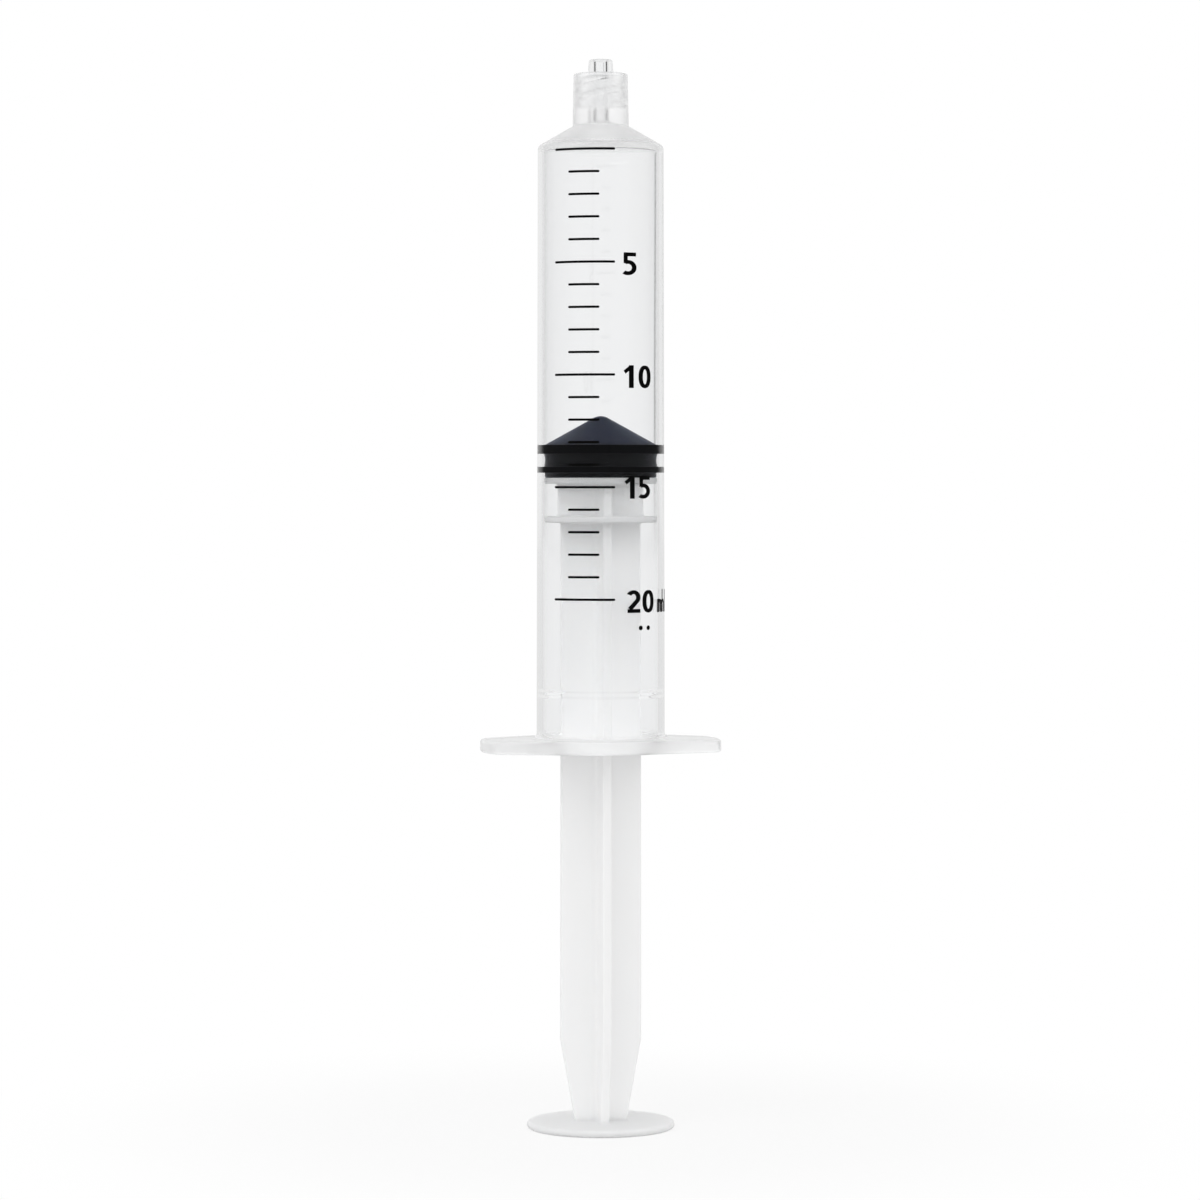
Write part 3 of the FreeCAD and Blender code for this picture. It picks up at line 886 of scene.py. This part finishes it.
# The world's light on lit surfaces, and how much more of it reaches the rod through the barrel.
# Then the level seen through clear plastic, how far the card and one reflection dim it, the
# floor's own levels, and how much of the floor's lit surface shows near the syringe.
DAYLIGHT, BARREL_LIFT = 0.88, 2.45
CLEAR_LEVEL, CARD_SHADE = 0.98, 0.75
WALL_DIM, SIDE_DIM, INNER_DIM = 0.16, 0.76, 0.25
FLOOR_LIT, FLOOR_LEVEL, FLOOR_SIZE = 0.55, 0.9, 6000.0
SHADOW_SHARE, SHADOW_REACH = 0.28, (30.0, 110.0)

# Directions in the world seen from the camera: the dim card, and the white wall behind.
CARD_LEFT, CARD_RIGHT, CARD_FOOT = (0.235, 0.26), (0.275, 0.31), (-0.03, 0.02)
BACK_WALL, FRONT_WALL = (0.55, 0.8), (-0.7, -0.2)

# Camera, for an image 1200 pixels wide
VIEW_TURN = math.radians(-9.5)
IMAGE_WIDTH, SENSOR_WIDTH = 1200.0, 36.0
EYE_DISTANCE, EYE_HEIGHT, FOCAL, DROP, ASIDE = 680.0, 105.85, 4165.0, 119.0, 0.7


def beyond(nodes):
    """What a ray knows of its way to the backdrop: whether it comes from the camera or a lit
    surface, whether it has crossed the barrel's wall twice, and whether it has had just one
    reflection, off what lies inside the barrel or off the barrel's own walls."""
    camera, lit, mirrored, crossed = nodes.ray(
        "Is Camera Ray", "Diffuse Depth", "Glossy Depth", "Transmission Depth")
    once = mirrored.reaches(1) * (1 - mirrored.reaches(2))
    deep = crossed.reaches(3)
    return camera, lit.reaches(1), deep, once * deep, once * (1 - deep)


def white_floor():
    """Large white floor. The camera, gloss and clear plastic see it as plain white, mixed near
    the syringe with its lit surface, which holds the soft shadow."""
    size = FLOOR_SIZE
    corners = [(-size, -size, 0), (size, -size, 0), (size, size, 0), (-size, size, 0)]
    floor = add_mesh("floor", corners, [[0, 1, 2, 3]])
    material, nodes = new_finish("floor_paper")
    x, y, _ = nodes.split(nodes.place())
    away = (x * x + y * y) ** 0.5
    lit = nodes.node("ShaderNodeBsdfDiffuse", None, {
        "Color": nodes.blend(nodes.noise(0.8, 3.0), (0.86, 0.86, 0.86), (0.9, 0.9, 0.9))})
    camera, lit_ray, _, _, outer = beyond(nodes)
    seen = FLOOR_LEVEL * (1 - outer * WALL_DIM)
    white = nodes.node("ShaderNodeEmission", None, {
        "Color": (1, 1, 1, 1),
        "Strength": camera + (1 - camera) * (lit_ray * FLOOR_LIT + (1 - lit_ray) * seen)})
    gloss, through = nodes.ray("Is Glossy Ray", "Is Transmission Ray")
    shows = camera.maths("MAXIMUM", gloss).maths("MAXIMUM", through)
    share = shows * (1 - SHADOW_SHARE + away.between(*SHADOW_REACH) * SHADOW_SHARE)
    mix = nodes.node("ShaderNodeMixShader", None, {
        0: share, 1: lit.outputs[0], 2: white.outputs[0]})
    nodes.node("ShaderNodeOutputMaterial", None, {"Surface": mix.outputs[0]})
    floor.data.materials.append(material)


def white_room():
    """World that is plain white to the camera. Through clear plastic it is nearly white, with a
    slim dim card on the right, which the tube's edge bends into view as a dark line. A single
    reflection sees it dim, except behind the syringe. Its light is a little stronger above."""
    world = bpy.data.worlds.new("white_room")
    bpy.context.scene.world = world
    world.use_nodes = True
    nodes = Nodes(world.node_tree)
    camera, lit, deep, inner, outer = beyond(nodes)
    x, y, z = nodes.split(nodes.node("ShaderNodeTexCoord").outputs["Generated"])
    behind = x * -math.sin(VIEW_TURN) + y * math.cos(VIEW_TURN)
    aside = x * math.cos(VIEW_TURN) + y * math.sin(VIEW_TURN)
    card = aside.between(*CARD_LEFT) * (1 - aside.between(*CARD_RIGHT)) * z.between(*CARD_FOOT)
    off_wall = 1 - behind.between(*BACK_WALL)
    inner_dim = inner * INNER_DIM * behind.between(*FRONT_WALL) * off_wall
    dim = inner_dim + outer * (WALL_DIM + off_wall * SIDE_DIM)
    daylight = (DAYLIGHT + z * 0.06 + aside * 0.03) * (1 + deep * (BARREL_LIFT - 1))
    seen = (CLEAR_LEVEL - card * CARD_SHADE) * (1 - dim)
    strength = camera + (1 - camera) * (lit * daylight + (1 - lit) * seen)
    back = nodes.node("ShaderNodeBackground", None, {"Color": (1, 1, 1, 1), "Strength": strength})
    nodes.node("ShaderNodeOutputWorld", None, {"Surface": back.outputs[0]})


def soft_lamp():
    """One broad soft lamp above and to the left, which shapes the rod and casts the shadow."""
    data = bpy.data.lights.new("softbox", "AREA")
    data.shape = "RECTANGLE"
    data.size, data.size_y = 0.5, 0.7
    data.energy = 0.9
    lamp = bpy.data.objects.new("softbox", data)
    bpy.context.scene.collection.objects.link(lamp)
    lamp.location = Vector((-0.45, -0.4, 0.75))
    lamp.rotation_euler = (Vector((0, 0, 0.09)) - lamp.location).to_track_quat("-Z", "Y").to_euler()


def photo_camera():
    """Camera of the photograph: its distance from the axis, its height, and a small tilt down."""
    data = bpy.data.cameras.new("camera")
    data.sensor_width = SENSOR_WIDTH
    data.lens = FOCAL / IMAGE_WIDTH * SENSOR_WIDTH
    data.clip_end = 100.0
    camera = bpy.data.objects.new("camera", data)
    bpy.context.scene.collection.objects.link(camera)
    camera.location = Vector((EYE_DISTANCE * math.sin(VIEW_TURN), -EYE_DISTANCE * math.cos(VIEW_TURN),
                              EYE_HEIGHT)) * MM
    tilt, turn = math.atan(DROP / FOCAL), math.atan(ASIDE / FOCAL)
    camera.rotation_euler = (math.pi / 2 - tilt, 0, VIEW_TURN + turn)
    bpy.context.scene.camera = camera


def dress(piece, finish, body, slot, *nodes):
    """Gives a piece its finish and its body, and hides the nodes of model.glb that it stands for. The slot
    is not used.
    """
    piece.data.materials.append(finish)
    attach(piece, body)
    if nodes:
        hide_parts(*nodes)


photo_camera()
white_room()
soft_lamp()
white_floor()
ink = black_ink()
dress(barrel_clear(), clear_plastic(), "barrel", "barrel_plastic", "barrel")
dress(scale_lines(), ink, "barrel", "scale_ink", "printed_scale")
dress(scale_numbers(), ink, "barrel", "scale_ink")
dress(stopper_rubber(), dark_rubber(), "stopper", "stopper_rubber", "stopper")
dress(rod_moulding(), milky_plastic(), "plunger_rod", "rod_plastic", "plunger_rod")
bpy.context.scene.view_settings.view_transform = "Standard"
